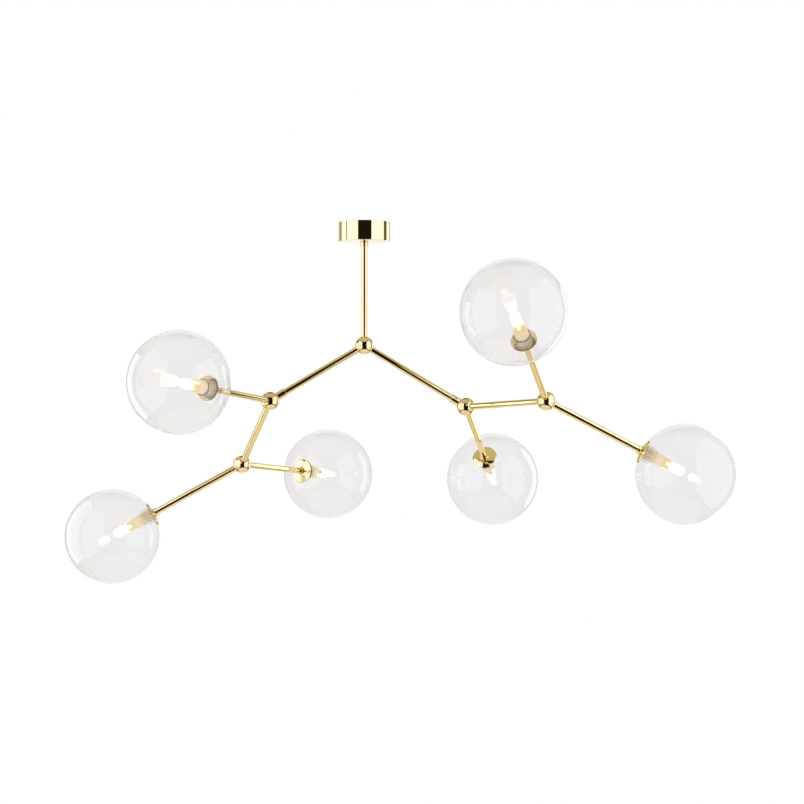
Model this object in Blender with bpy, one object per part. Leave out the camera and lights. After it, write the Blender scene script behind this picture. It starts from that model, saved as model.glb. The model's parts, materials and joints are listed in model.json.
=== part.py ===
"""Multi arm chandelier: a brass stem, five ball joints and six clear globe lamps.

Metres, +Z up. The origin is the centre of the ceiling plate's top face, which rests on
the ceiling. +X is the right of the lamp's front and -Y is the side that it is seen from.
Each piece is one closed solid in its own object. Pieces that turn or slide together hang
from an empty on their joint's axis.
"""

import math

import bmesh
import bpy
from mathutils import Matrix, Vector

# Fits
GAP = 0.0003
SOCKET_CLEARANCE = 0.0003
UP = Vector((0.0, 0.0, 1.0))
DOWN = -UP
FRONT = Vector((0.0, -1.0, 0.0))

# Ceiling plate, nipple and lock nut
PLATE_RADIUS = 0.037
PLATE_THICKNESS = 0.0025
PLATE_HOLE_RADIUS = 0.0025
PLATE_HOLE_OFFSET = 0.026
SUPPLY_HOLE_RADIUS = 0.005
SUPPLY_HOLE_OFFSET = 0.024
BOSS_RADIUS = 0.010
BOSS_DEPTH = 0.014
BOSS_BORE_TOP = 0.003
WIRE_PORT_RADIUS = 0.0024
WIRE_PORT_DEPTH = 0.0056
NIPPLE_RADIUS = 0.0037
NIPPLE_BORE = 0.0025
NIPPLE_TOP = 0.0085
NIPPLE_LENGTH = 0.0235
NIPPLE_CLEARANCE = 0.0005
NUT_RADIUS = 0.0075
NUT_HEIGHT = 0.0035

# Terminal block
BLOCK_SIZE = (0.026, 0.013, 0.010)
BLOCK_OFFSET = 0.022
BLOCK_EDGE = 0.0012
TERMINAL_SPACING = 0.012
TERMINAL_RADIUS = 0.0019
TERMINAL_DEPTH = 0.004
ENTRY_RISE = 0.002

# Canopy
CANOPY_RADIUS = 0.040
CANOPY_HEIGHT = 0.030
CANOPY_WALL = 0.0012
CANOPY_EDGE = 0.0010
CANOPY_CEILING_GAP = 0.0005
CANOPY_HOLE = 0.0056
CANOPY_COLLAR_RADIUS = 0.0065
CANOPY_COLLAR_HEIGHT = 0.0068

# Tubes and balls
TUBE_RADIUS = 0.005
TUBE_BORE = 0.004
BALL_RADIUS = 0.0143
SOCKET_SHOULDER = 0.0095
TUBE_START = SOCKET_SHOULDER + GAP
HUB_DROP = 0.190
STEM_TOP = 0.018

# Swivel collars and grub screws
SWIVEL_RADIUS = 0.0063
SWIVEL_BORE = 0.0054
SWIVEL_LENGTH = 0.013
SWIVEL_START = 0.0136
GRUB_RADIUS = 0.0013
GRUB_SOCKET = 0.0007
GRUB_SOCKET_DEPTH = 0.0006
GRUB_INNER_END = TUBE_RADIUS + 0.0004
GRUB_STAND = 0.0005

# Arms: name, ball it starts at, ball it ends at, azimuth, elevation, centre distance.
# Azimuth turns from +X towards +Y, elevation rises from level, both in degrees.
ARMS = (
    ("left_main_arm", "hub_ball", "left_ball", 188.0, -30.5, 0.1690),
    ("right_main_arm", "hub_ball", "right_ball", 3.0, -31.0, 0.1835),
    ("left_link_arm", "left_ball", "lower_left_ball", 112.0, -36.0, 0.1700),
    ("right_link_arm", "right_ball", "far_right_ball", -49.5, 2.5, 0.1740),
)

# Lamps: name, ball it grows from, azimuth, elevation.
LAMPS = (
    ("upper_left", "left_ball", -121.0, 6.0),
    ("lower_left", "lower_left_ball", -175.5, -29.0),
    ("inner_left", "lower_left_ball", 55.5, -5.0),
    ("upper_right", "far_right_ball", -108.0, 31.0),
    ("inner_right", "right_ball", 75.0, -30.0),
    ("far_right", "far_right_ball", 3.0, -27.5),
)
LAMP_REACH = 0.235
LEFT_BALLS = ("left_ball", "lower_left_ball")

# Lamp pieces, along the lamp's own axis from the globe's centre, away from the arm
GLOBE_RADIUS = 0.075
GLOBE_WALL = 0.002
NECK_BORE = 0.0108
NECK_RADIUS = 0.0128
NECK_END = -0.0575
DISC_RADIUS = 0.0195
DISC_EDGE = 0.0004
DISC_CROWN = -0.0768
DISC_NECK_RADIUS = 0.0065
DISC_NECK_END = -0.0815
SLEEVE_RADIUS = 0.01025
SLEEVE_BORE = 0.0090
SLEEVE_BACK = -0.0740
SLEEVE_WALL = 0.0015
SLEEVE_FRONT = -0.0420
SLEEVE_WIRE_HOLE = 0.0032
HOLDER_RADIUS = 0.0084
HOLDER_BACK = SLEEVE_BACK + SLEEVE_WALL + 0.0005
HOLDER_FRONT = -0.0280
HOLDER_POCKET = (0.0190, 0.0058)
HOLDER_POCKET_FLOOR = -0.0400
HOLDER_NOTCH = (0.0050, 0.0190)
HOLDER_NOTCH_FLOOR = -0.0345
HOLDER_SLOT = (0.0120, 0.0024)
HOLDER_SLOT_FLOOR = -0.0505
BULB_RADIUS = 0.0068
BULB_BASE = -0.0273
BULB_TIP = -0.0040
BULB_SHOULDER = 0.0015
DOME_TURNS = (0.5, 1.05)
SEAL_SIZE = (0.0136, 0.0046)
SEAL_BACK = -0.0393
SEAL_OVERLAP = 0.003
PIN_RADIUS = 0.0006
PIN_SPACING = 0.0090
PIN_BACK = -0.0485
PIN_OVERLAP = 0.002

# Wiring
WIRE_RADIUS = 0.0014
WIRE_END = SLEEVE_BACK + 0.0012

# Facets
BALL_SEGMENTS = 16
BALL_RINGS = 8
TUBE_SEGMENTS = 12
CANOPY_SEGMENTS = 28
GLOBE_SEGMENTS = 18
GLOBE_STEPS = 9
DISC_SEGMENTS = 14
SMALL_SEGMENTS = 12
SMOOTH_ANGLE = math.radians(40)


def clear_scene():
    for thing in list(bpy.data.objects):
        bpy.data.objects.remove(thing, do_unlink=True)


def finish(name, colour, roughness, metallic, transmission=0.0, glow=0.0):
    """A Principled material."""
    material = bpy.data.materials.new(name)
    material.use_nodes = True
    shader = material.node_tree.nodes["Principled BSDF"]
    shader.inputs["Base Color"].default_value = (*colour, 1.0)
    shader.inputs["Roughness"].default_value = roughness
    shader.inputs["Metallic"].default_value = metallic
    shader.inputs["Transmission Weight"].default_value = transmission
    shader.inputs["Emission Color"].default_value = (1.0, 0.84, 0.60, 1.0)
    shader.inputs["Emission Strength"].default_value = glow
    return material


def direction(azimuth, elevation):
    level = math.cos(math.radians(elevation))
    turn = math.radians(azimuth)
    return Vector((level * math.cos(turn), level * math.sin(turn), math.sin(math.radians(elevation))))


def aimed(point, toward=UP):
    """The matrix that puts a mesh's origin at the point and turns its +Z the short way to toward."""
    return Matrix.Translation(point) @ UP.rotation_difference(toward).to_matrix().to_4x4()


def across(axis, wanted):
    """The unit vector square to the axis that is nearest to the wanted one."""
    return (wanted - axis * wanted.dot(axis)).normalized()


def turned(profile, segments):
    """A solid of revolution about +Z from (radius, height) points.

    A profile that starts and ends on the axis is left open there; any other is closed.
    """
    form = bmesh.new()
    points = [form.verts.new((radius, 0.0, height)) for radius, height in profile]
    edges = [form.edges.new(pair) for pair in zip(points, points[1:])]
    if profile[0][0] > 0.0:
        edges.append(form.edges.new((points[-1], points[0])))
    bmesh.ops.spin(form, geom=points + edges, axis=UP, cent=(0, 0, 0), steps=segments, angle=2 * math.pi)
    return finished(form, "turned")


def boxed(size, centre):
    form = bmesh.new()
    bmesh.ops.create_cube(form, size=1.0, matrix=Matrix.Translation(centre) @ Matrix.Diagonal((*size, 1.0)))
    return finished(form, "box")


def round_ball(radius, segments, rings):
    form = bmesh.new()
    bmesh.ops.create_uvsphere(form, u_segments=segments, v_segments=rings, radius=radius)
    return finished(form, "ball")


def finished(form, name):
    """The bmesh as a mesh with its doubles merged and its faces turned out."""
    bmesh.ops.remove_doubles(form, verts=form.verts, dist=1e-6)
    bmesh.ops.recalc_face_normals(form, faces=form.faces)
    mesh = bpy.data.meshes.new(name)
    form.to_mesh(mesh)
    form.free()
    return mesh


def rod(radius, low, high, segments=SMALL_SEGMENTS):
    return turned([(0.0, low), (radius, low), (radius, high), (0.0, high)], segments)


def pipe(radius, bore, low, high, segments=TUBE_SEGMENTS):
    return turned([(bore, low), (radius, low), (radius, high), (bore, high)], segments)


def worked(base, *steps):
    """The base mesh after its Boolean steps, each an operation, a tool mesh and its matrix."""
    blank = bpy.data.objects.new("blank", base)
    bpy.context.scene.collection.objects.link(blank)
    helpers = [blank]
    for operation, mesh, place in steps:
        tool = bpy.data.objects.new("tool", mesh)
        tool.matrix_world = place
        tool.hide_render = True
        tool.display_type = "WIRE"
        bpy.context.scene.collection.objects.link(tool)
        boolean = blank.modifiers.new(operation, "BOOLEAN")
        boolean.operation = operation
        boolean.object = tool
        helpers.append(tool)
    graph = bpy.context.evaluated_depsgraph_get()
    result = bpy.data.meshes.new_from_object(blank.evaluated_get(graph))
    for helper in helpers:
        bpy.data.objects.remove(helper, do_unlink=True)
    return result


def pivot(name, point, parent=None):
    """An empty at a joint: (object, its place), the parent that moving pieces hang from."""
    empty = bpy.data.objects.new(name, None)
    bpy.context.scene.collection.objects.link(empty)
    hang(empty, Matrix.Translation(point), parent)
    return empty, point


def hang(thing, place, parent):
    """Gives the thing its place in the world, under the parent where it has one."""
    thing.location = place.to_translation()
    thing.rotation_mode = "QUATERNION"
    thing.rotation_quaternion = place.to_quaternion()
    if parent:
        thing.parent = parent[0]
        thing.matrix_parent_inverse = Matrix.Translation(-parent[1])


def piece(name, mesh, material, place, parent=None):
    """One named part of the chandelier."""
    part = bpy.data.objects.new(name, mesh)
    bpy.context.scene.collection.objects.link(part)
    hang(part, place, parent)
    if not mesh.materials:
        mesh.materials.append(material)
        mesh.shade_smooth()
        mesh.set_sharp_from_angle(angle=SMOOTH_ANGLE)
    return part


def grub_screw():
    """A short headless screw with a round-cornered socket, its outer end up."""
    top = SWIVEL_RADIUS + GRUB_STAND
    return turned(
        [
            (0.0, GRUB_INNER_END),
            (GRUB_RADIUS, GRUB_INNER_END),
            (GRUB_RADIUS, top),
            (GRUB_SOCKET, top),
            (GRUB_SOCKET, top - GRUB_SOCKET_DEPTH),
            (0.0, top - GRUB_SOCKET_DEPTH),
        ],
        SMALL_SEGMENTS,
    )


def drilled_collar(radius, bore, length, screw_way):
    """A collar on +Z with a cross hole for its grub screw, half way along it."""
    hole = rod(GRUB_RADIUS + GAP, 0.5 * bore, 2 * radius)
    return worked(
        pipe(radius, bore, 0.0, length, 2 * SMALL_SEGMENTS),
        ("DIFFERENCE", hole, aimed(Vector((0, 0, length / 2)), screw_way)),
    )


def ceiling_plate():
    """A round steel plate whose blind boss takes the nipple, so that its top face is whole."""
    bore = NIPPLE_RADIUS + NIPPLE_CLEARANCE
    blank = turned(
        [
            (0.0, 0.0),
            (PLATE_RADIUS, 0.0),
            (PLATE_RADIUS, -PLATE_THICKNESS),
            (BOSS_RADIUS, -PLATE_THICKNESS),
            (BOSS_RADIUS, -BOSS_DEPTH),
            (bore, -BOSS_DEPTH),
            (bore, -BOSS_BORE_TOP),
            (0.0, -BOSS_BORE_TOP),
        ],
        2 * SMALL_SEGMENTS,
    )
    through = 2 * PLATE_THICKNESS
    screw_hole = rod(PLATE_HOLE_RADIUS, -through, through)
    supply_hole = rod(SUPPLY_HOLE_RADIUS, -through, through)
    wire_port = rod(WIRE_PORT_RADIUS, 0.0, 2 * BOSS_RADIUS)
    return worked(
        blank,
        ("DIFFERENCE", screw_hole, aimed(Vector((PLATE_HOLE_OFFSET, 0, 0)))),
        ("DIFFERENCE", screw_hole, aimed(Vector((-PLATE_HOLE_OFFSET, 0, 0)))),
        ("DIFFERENCE", supply_hole, aimed(Vector((0, SUPPLY_HOLE_OFFSET, 0)))),
        ("DIFFERENCE", wire_port, aimed(Vector((0, 0, -WIRE_PORT_DEPTH)), FRONT)),
    )


def lock_nut():
    hexagon = rod(NUT_RADIUS, 0.0, NUT_HEIGHT, 6)
    return worked(hexagon, ("DIFFERENCE", rod(NIPPLE_RADIUS + NIPPLE_CLEARANCE, -0.01, 0.01), Matrix()))


def terminal_block():
    """A plastic block with two terminal screws' wells below and two wire entries at the front."""
    well = rod(TERMINAL_RADIUS, 0.0, 2 * TERMINAL_DEPTH)
    steps = []
    for side in (-1, 1):
        below = Vector((side * TERMINAL_SPACING / 2, 0, -BLOCK_SIZE[2] / 2 + TERMINAL_DEPTH))
        front = Vector((side * TERMINAL_SPACING / 2, -BLOCK_SIZE[1] / 2 + TERMINAL_DEPTH / 2, ENTRY_RISE))
        steps.append(("DIFFERENCE", well, aimed(below, DOWN)))
        steps.append(("DIFFERENCE", well, aimed(front, FRONT)))
    form = bmesh.new()
    form.from_mesh(boxed(BLOCK_SIZE, (0, 0, 0)))
    bmesh.ops.bevel(form, geom=form.edges, offset=BLOCK_EDGE, segments=1, affect="EDGES")
    return worked(finished(form, "block"), *steps)


def canopy_cover():
    """A low cup, open at the ceiling, standing on its underside at zero."""
    inner = CANOPY_RADIUS - CANOPY_WALL
    edge = CANOPY_EDGE * (1 - math.sqrt(0.5))
    return turned(
        [
            (CANOPY_HOLE, 0.0),
            (CANOPY_RADIUS - CANOPY_EDGE, 0.0),
            (CANOPY_RADIUS - edge, edge),
            (CANOPY_RADIUS, CANOPY_EDGE),
            (CANOPY_RADIUS, CANOPY_HEIGHT),
            (inner, CANOPY_HEIGHT),
            (inner, CANOPY_WALL),
            (CANOPY_HOLE, CANOPY_WALL),
        ],
        CANOPY_SEGMENTS,
    )


def socketed_ball(ways):
    """A ball with a stepped socket for a tube along each way, the three bores meeting inside."""
    socket = TUBE_RADIUS + SOCKET_CLEARANCE
    cutter = turned(
        [
            (0.0, -TUBE_BORE / 2),
            (TUBE_BORE, -TUBE_BORE / 2),
            (TUBE_BORE, SOCKET_SHOULDER),
            (socket, SOCKET_SHOULDER),
            (socket, 2 * BALL_RADIUS),
            (0.0, 2 * BALL_RADIUS),
        ],
        TUBE_SEGMENTS,
    )
    steps = [("DIFFERENCE", cutter, aimed(Vector(), way)) for way in ways]
    return worked(round_ball(BALL_RADIUS, BALL_SEGMENTS, BALL_RINGS), *steps)


def on_sphere(radius, across_axis):
    """The height, below the centre, where a sphere has this radius about its axis."""
    return -math.sqrt(radius * radius - across_axis * across_axis)


def globe():
    """A blown glass globe whose neck turns back inside to take the threaded sleeve."""
    outside = math.asin(NECK_RADIUS / GLOBE_RADIUS)
    inner_radius = GLOBE_RADIUS - GLOBE_WALL
    inside = math.asin(NECK_RADIUS / inner_radius)

    def arc(radius, start):
        """From the neck's rim round to the far pole, as (radius, height) points."""
        turns = [start + (math.pi - start) * step / GLOBE_STEPS for step in range(GLOBE_STEPS)]
        return [(radius * math.sin(turn), -radius * math.cos(turn)) for turn in turns] + [(0.0, radius)]

    mouth = on_sphere(GLOBE_RADIUS, NECK_RADIUS)
    neck = [(NECK_BORE, mouth), (NECK_BORE, NECK_END), (NECK_RADIUS, NECK_END)]
    return turned(arc(GLOBE_RADIUS, outside)[::-1] + neck + arc(inner_radius, inside), GLOBE_SEGMENTS)


def holder_disc():
    """A thin dished cap that fits over the globe's crown, with a neck for the arm."""
    seat = GLOBE_RADIUS + GAP
    middle = 0.6 * DISC_RADIUS
    rim = on_sphere(seat, DISC_RADIUS)
    return turned(
        [
            (TUBE_BORE, on_sphere(seat, TUBE_BORE)),
            (middle, on_sphere(seat, middle)),
            (DISC_RADIUS, rim),
            (DISC_RADIUS, rim - DISC_EDGE),
            (middle, (rim + DISC_CROWN) / 2 - 2 * DISC_EDGE),
            (DISC_NECK_RADIUS, DISC_CROWN),
            (DISC_NECK_RADIUS, DISC_NECK_END),
            (TUBE_RADIUS + SOCKET_CLEARANCE, DISC_NECK_END),
            (TUBE_RADIUS + SOCKET_CLEARANCE, DISC_CROWN),
            (TUBE_BORE, DISC_CROWN),
        ],
        DISC_SEGMENTS,
    )


def thread_sleeve():
    """A threaded cup that the globe's neck screws onto, with a wire hole in its back."""
    inside_back = SLEEVE_BACK + SLEEVE_WALL
    return turned(
        [
            (SLEEVE_WIRE_HOLE, SLEEVE_BACK),
            (SLEEVE_RADIUS, SLEEVE_BACK),
            (SLEEVE_RADIUS, SLEEVE_FRONT),
            (SLEEVE_BORE, SLEEVE_FRONT),
            (SLEEVE_BORE, inside_back),
            (SLEEVE_WIRE_HOLE, inside_back),
        ],
        TUBE_SEGMENTS,
    )


def lamp_holder():
    """A ceramic two-pin holder whose crown of four prongs grips the bulb's flat seal."""

    def well(size, floor):
        height = 2 * (HOLDER_FRONT - floor)
        return boxed((*size, height), (0, 0, floor + height / 2))

    return worked(
        rod(HOLDER_RADIUS, HOLDER_BACK, HOLDER_FRONT),
        ("DIFFERENCE", well(HOLDER_POCKET, HOLDER_POCKET_FLOOR), Matrix()),
        ("DIFFERENCE", well(HOLDER_NOTCH, HOLDER_NOTCH_FLOOR), Matrix()),
        ("DIFFERENCE", well(HOLDER_SLOT, HOLDER_SLOT_FLOOR), Matrix()),
    )


def bulb():
    """A small capsule bulb: a glass dome, a pinched flat seal and two pins."""
    straight = BULB_TIP - BULB_RADIUS
    dome = [(BULB_RADIUS * math.cos(turn), straight + BULB_RADIUS * math.sin(turn)) for turn in DOME_TURNS]
    capsule = turned(
        [
            (0.0, BULB_BASE),
            (BULB_RADIUS - BULB_SHOULDER, BULB_BASE),
            (BULB_RADIUS, BULB_BASE + BULB_SHOULDER),
            (BULB_RADIUS, straight),
            *dome,
            (0.0, BULB_TIP),
        ],
        SMALL_SEGMENTS,
    )
    seal_top = BULB_BASE + SEAL_OVERLAP
    seal = boxed((*SEAL_SIZE, seal_top - SEAL_BACK), (0, 0, (seal_top + SEAL_BACK) / 2))
    pin = rod(PIN_RADIUS, PIN_BACK, SEAL_BACK + PIN_OVERLAP, 6)
    return worked(
        capsule,
        ("UNION", seal, Matrix()),
        ("UNION", pin, Matrix.Translation((-PIN_SPACING / 2, 0, 0))),
        ("UNION", pin, Matrix.Translation((PIN_SPACING / 2, 0, 0))),
    )


def wiring(points, edges, origin):
    """A branching harness: a six-sided cord along each edge, joined where they meet."""
    cords = []
    for start, end in edges:
        way = points[end] - points[start]
        cord = rod(WIRE_RADIUS, -WIRE_RADIUS, way.length, 6)
        cord.transform(aimed(points[start] - origin, way))
        cords.append(cord)
    return worked(cords[0], *[("UNION", cord, Matrix()) for cord in cords[1:]])


clear_scene()
BRASS = finish("polished_brass", (0.83, 0.62, 0.30), 0.10, 1.0)
STEEL = finish("zinc_plated_steel", (0.62, 0.63, 0.65), 0.35, 1.0)
PLASTIC = finish("terminal_plastic", (0.90, 0.90, 0.87), 0.45, 0.0)
SILICONE = finish("wire_silicone", (0.86, 0.84, 0.78), 0.50, 0.0)
GLASS = finish("clear_glass", (0.97, 0.98, 0.98), 0.02, 0.0, transmission=1.0)
CERAMIC = finish("cream_ceramic", (0.90, 0.84, 0.72), 0.45, 0.0)
LIT_GLASS = finish("lit_bulb_glass", (1.0, 0.93, 0.80), 0.10, 0.0, glow=8.0)

# Where every ball and lamp is
HUB = Vector((0, 0, -HUB_DROP))
BALL_PLACES = {"hub_ball": HUB}
BALL_WAYS = {"hub_ball": [UP]}
ARM_WAYS = {}
for arm, start, end, azimuth, elevation, distance in ARMS:
    way = direction(azimuth, elevation)
    ARM_WAYS[arm] = way
    BALL_PLACES[end] = BALL_PLACES[start] + way * distance
    BALL_WAYS.setdefault(start, []).append(way)
    BALL_WAYS.setdefault(end, []).append(-way)
for lamp, ball, azimuth, elevation in LAMPS:
    BALL_WAYS[ball].append(direction(azimuth, elevation))

# What moves with what: each branch swivels about its main arm, which passes through its ball
LEFT_BRANCH = pivot("left_swivel_axis", BALL_PLACES["left_ball"])
RIGHT_BRANCH = pivot("right_swivel_axis", BALL_PLACES["right_ball"])
CANOPY_BOTTOM = Vector((0, 0, -CANOPY_CEILING_GAP - CANOPY_HEIGHT))
CANOPY = pivot("canopy_slide_axis", CANOPY_BOTTOM)


def branch_of(ball):
    if ball == "hub_ball":
        return None
    return LEFT_BRANCH if ball in LEFT_BALLS else RIGHT_BRANCH


# Ceiling end
piece("ceiling_plate", ceiling_plate(), STEEL, Matrix())
block_height = -PLATE_THICKNESS - GAP - BLOCK_SIZE[2] / 2
piece("terminal_block", terminal_block(), PLASTIC, aimed(Vector((0, -BLOCK_OFFSET, block_height))))
nipple_foot = Vector((0, 0, -NIPPLE_TOP - NIPPLE_LENGTH))
piece("stem_nipple", pipe(NIPPLE_RADIUS, NIPPLE_BORE, 0.0, NIPPLE_LENGTH), STEEL, aimed(nipple_foot))
nut_foot = Vector((0, 0, -BOSS_DEPTH - GAP - NUT_HEIGHT))
piece("stem_lock_nut", lock_nut(), STEEL, aimed(nut_foot))

# Canopy, which slides down the stem once its grub screw is loose
piece("canopy_cover", canopy_cover(), BRASS, aimed(CANOPY_BOTTOM), CANOPY)
collar_foot = CANOPY_BOTTOM + DOWN * (GAP + CANOPY_COLLAR_HEIGHT)
canopy_collar = drilled_collar(CANOPY_COLLAR_RADIUS, SWIVEL_BORE, CANOPY_COLLAR_HEIGHT, FRONT)
piece("canopy_collar", canopy_collar, BRASS, aimed(collar_foot), CANOPY)
GRUB = grub_screw()
collar_middle = collar_foot + UP * (CANOPY_COLLAR_HEIGHT / 2)
piece("canopy_grub_screw", GRUB, STEEL, aimed(collar_middle, FRONT), CANOPY)

# Stem, arms and balls
stem = pipe(TUBE_RADIUS, TUBE_BORE, TUBE_START, HUB_DROP - STEM_TOP)
piece("stem_tube", stem, BRASS, aimed(HUB))
for ball, place in BALL_PLACES.items():
    piece(ball, socketed_ball(BALL_WAYS[ball]), BRASS, aimed(place), branch_of(ball))
for arm, start, end, azimuth, elevation, distance in ARMS:
    tube = pipe(TUBE_RADIUS, TUBE_BORE, TUBE_START, distance - TUBE_START)
    piece(arm, tube, BRASS, aimed(BALL_PLACES[start], ARM_WAYS[arm]), branch_of(start))

# Swivel collars, on the branch side of each main arm
SCREW_SIDES = {"left": Vector((0.0, 1.0, 0.6)), "right": Vector((0.0, -1.0, 0.6))}
for side, branch in (("left", LEFT_BRANCH), ("right", RIGHT_BRANCH)):
    back_along = -ARM_WAYS[side + "_main_arm"]
    foot = BALL_PLACES[side + "_ball"] + back_along * SWIVEL_START
    screw_way = across(back_along, SCREW_SIDES[side])
    local_way = aimed(Vector(), back_along).inverted() @ screw_way
    collar = drilled_collar(SWIVEL_RADIUS, SWIVEL_BORE, SWIVEL_LENGTH, local_way)
    piece(side + "_swivel_collar", collar, BRASS, aimed(foot, back_along), branch)
    middle = foot + back_along * (SWIVEL_LENGTH / 2)
    piece(side + "_swivel_screw", GRUB, STEEL, aimed(middle, screw_way), branch)

# Six like lamps, which share their meshes
LAMP_ARM = pipe(TUBE_RADIUS, TUBE_BORE, TUBE_START, LAMP_REACH + DISC_CROWN - GAP)
DISC = holder_disc()
SLEEVE = thread_sleeve()
HOLDER = lamp_holder()
GLOBE = globe()
BULB = bulb()
LAMP_PLACES = {}
for lamp, ball, azimuth, elevation in LAMPS:
    way = direction(azimuth, elevation)
    centre = BALL_PLACES[ball] + way * LAMP_REACH
    LAMP_PLACES[lamp] = aimed(centre, way)
    branch = branch_of(ball)
    piece(lamp + "_arm", LAMP_ARM, BRASS, aimed(BALL_PLACES[ball], way), branch)
    piece(lamp + "_disc", DISC, BRASS, LAMP_PLACES[lamp], branch)
    piece(lamp + "_sleeve", SLEEVE, BRASS, LAMP_PLACES[lamp], branch)
    piece(lamp + "_holder", HOLDER, CERAMIC, LAMP_PLACES[lamp], branch)
    unscrew_axis = pivot(lamp + "_lamp_axis", centre, branch)
    piece(lamp + "_globe", GLOBE, GLASS, LAMP_PLACES[lamp], unscrew_axis)
    piece(lamp + "_bulb", BULB, LIT_GLASS, LAMP_PLACES[lamp], unscrew_axis)


def wire_end(lamp):
    """Where a lamp's wires reach the back of its holder."""
    return LAMP_PLACES[lamp] @ Vector((0, 0, WIRE_END))


# Wiring: one harness in the stem and main arms, one in each branch
port = Vector((0, -BLOCK_OFFSET + BLOCK_SIZE[1] / 2 + 2 * GAP + WIRE_RADIUS, -WIRE_PORT_DEPTH))
bend = Vector((0, 0, -WIRE_PORT_DEPTH))
main_ends = [
    BALL_PLACES[side + "_ball"] - ARM_WAYS[side + "_main_arm"] * (2 * TUBE_START) for side in ("left", "right")
]
HARNESSES = (
    ("stem_wiring", None, [port, bend, HUB, *main_ends], [(0, 1), (1, 2), (2, 3), (2, 4)]),
    (
        "left_wiring",
        LEFT_BRANCH,
        [
            BALL_PLACES["left_ball"],
            wire_end("upper_left"),
            BALL_PLACES["lower_left_ball"],
            wire_end("lower_left"),
            wire_end("inner_left"),
        ],
        [(0, 1), (0, 2), (2, 3), (2, 4)],
    ),
    (
        "right_wiring",
        RIGHT_BRANCH,
        [
            BALL_PLACES["right_ball"],
            wire_end("inner_right"),
            BALL_PLACES["far_right_ball"],
            wire_end("upper_right"),
            wire_end("far_right"),
        ],
        [(0, 1), (0, 2), (2, 3), (2, 4)],
    ),
)
for name, branch, points, edges in HARNESSES:
    origin = branch[1] if branch else Vector()
    piece(name, wiring(points, edges, origin), SILICONE, Matrix.Translation(origin), branch)
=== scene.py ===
"""Looks of the multi arm chandelier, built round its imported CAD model.

Metres, +Z up, in the frame of the CAD: the origin is the centre of the ceiling plate's
top face, +X is the right of the lamp's front and -Y is the side that it is seen from.
"""

import json

import bmesh
import bpy
import numpy as np
from mathutils import Matrix, Vector


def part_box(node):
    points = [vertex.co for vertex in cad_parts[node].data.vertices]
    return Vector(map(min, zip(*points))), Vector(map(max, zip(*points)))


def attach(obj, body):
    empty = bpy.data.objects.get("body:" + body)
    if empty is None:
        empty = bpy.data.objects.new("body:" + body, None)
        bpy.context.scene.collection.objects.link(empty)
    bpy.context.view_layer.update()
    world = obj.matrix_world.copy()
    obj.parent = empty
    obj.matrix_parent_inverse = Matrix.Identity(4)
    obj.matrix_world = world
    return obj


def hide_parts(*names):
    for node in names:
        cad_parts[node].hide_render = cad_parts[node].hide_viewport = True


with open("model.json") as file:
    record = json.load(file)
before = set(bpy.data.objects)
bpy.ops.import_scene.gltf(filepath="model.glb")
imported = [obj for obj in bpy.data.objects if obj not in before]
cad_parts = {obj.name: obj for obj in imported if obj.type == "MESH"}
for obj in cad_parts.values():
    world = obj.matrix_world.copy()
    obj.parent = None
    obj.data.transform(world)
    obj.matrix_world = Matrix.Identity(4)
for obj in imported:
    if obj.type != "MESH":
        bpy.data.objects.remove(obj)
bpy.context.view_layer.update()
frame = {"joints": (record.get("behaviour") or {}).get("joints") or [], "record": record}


# Ceiling plate: a zinc-plated steel disc that is screwed to the ceiling. Its boss takes the
# stem's threaded nipple, and a side port lets the wires in. Pressed, drilled, then plated.
UP = Vector((0.0, 0.0, 1.0))
FRONT = Vector((0.0, -1.0, 0.0))
PLATE_RADIUS = 0.037
PLATE_THICKNESS = 0.0025
PLATE_EDGE = 0.0004
SCREW_HOLE_RADIUS = 0.0025
SCREW_HOLE_OFFSET = 0.026
SUPPLY_HOLE_RADIUS = 0.005
SUPPLY_HOLE_OFFSET = 0.024
BOSS_RADIUS = 0.010
BOSS_DEPTH = 0.014
BOSS_BORE = 0.0042
BOSS_BORE_TOP = 0.003
WIRE_PORT_RADIUS = 0.0024
WIRE_PORT_DEPTH = 0.0056
ZINC_LIGHT = (0.66, 0.67, 0.69)
ZINC_DARK = (0.50, 0.51, 0.54)
SHARP_ANGLE = np.radians(38.0)
ROUNDING_STEPS = 5
CUT_REACH = 0.02
BODY_OF = {
    node: body
    for body, nodes in frame["record"]["behaviour"]["bodies"].items()
    for node in nodes
}


def surface(points):
    """A mesh on a grid of points, four neighbours to a face, with the seam and the poles merged.

    Its UV map is in metres: along a row at the widest row, and down the mean column.
    """
    rows, columns = points.shape[:2]
    index = np.arange(rows * columns).reshape(rows, columns)
    corners = (index[:-1, :-1], index[:-1, 1:], index[1:, 1:], index[1:, :-1])
    quads = np.stack(corners, axis=-1).reshape(-1, 4)
    mesh = bpy.data.meshes.new("surface")
    mesh.from_pydata(points.reshape(-1, 3).tolist(), [], quads.tolist())
    row_steps = np.linalg.norm(np.diff(points, axis=1), axis=-1)
    column_steps = np.linalg.norm(np.diff(points, axis=0), axis=-1).mean(axis=1)
    along_row = np.concatenate([[0.0], np.cumsum(row_steps[row_steps.sum(axis=1).argmax()])])
    down_column = np.concatenate([[0.0], np.cumsum(column_steps)])
    uv = np.stack(np.meshgrid(along_row, down_column), axis=-1).reshape(-1, 2)[quads.ravel()]
    mesh.uv_layers.new(name="wrap").data.foreach_set("uv", uv.astype(np.float32).ravel())
    return smoothed(mesh)


def smoothed(mesh):
    """The mesh with its doubles merged, its faces turned out and its real edges kept sharp."""
    form = bmesh.new()
    form.from_mesh(mesh)
    bmesh.ops.remove_doubles(form, verts=form.verts, dist=1e-7)
    bmesh.ops.recalc_face_normals(form, faces=form.faces)
    form.to_mesh(mesh)
    form.free()
    mesh.shade_smooth()
    mesh.set_sharp_from_angle(angle=SHARP_ANGLE)
    return mesh


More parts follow.
